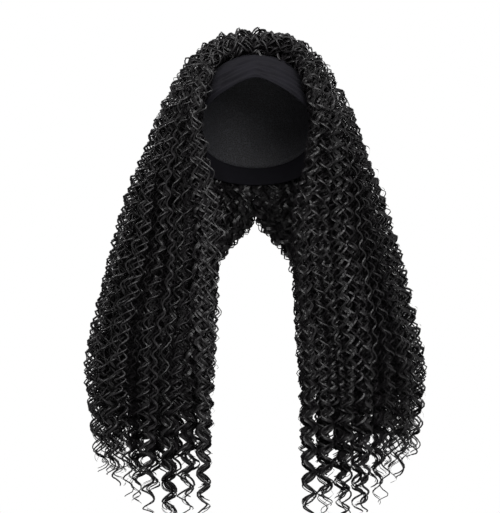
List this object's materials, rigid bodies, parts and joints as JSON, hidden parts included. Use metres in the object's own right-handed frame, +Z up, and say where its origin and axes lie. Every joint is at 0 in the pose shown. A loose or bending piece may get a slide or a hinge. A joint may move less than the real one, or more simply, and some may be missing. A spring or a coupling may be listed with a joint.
{
  "type": "headband half wig",
  "caption": "Headband half wig: wide stretch-knit band, close net cap behind it, and long curly hair parted into bunches that hang in front of and behind the shoulders.",
  "frame": {"origin": "inside of the cap at the top of the head, where it sits on the crown", "axes": "+Z up through the crown, -Y the way the face looks, +X the wearer's left"},
  "size_m": [0.4364, 0.2735, 0.6144],
  "materials": {
    "band_knit": "matte black stretch knit, soft folds along it",
    "cap_net": "black net with sewn wefts",
    "hair_fibre": "black curly fibre with a soft sheen"
  },
  "bodies": {
    "root": {"headband": "band_knit", "cap": "cap_net", "front_hair_left": "hair_fibre", "front_hair_right": "hair_fibre", "back_hair_left": "hair_fibre", "back_hair_right": "hair_fibre"}
  },
  "joints": []
}
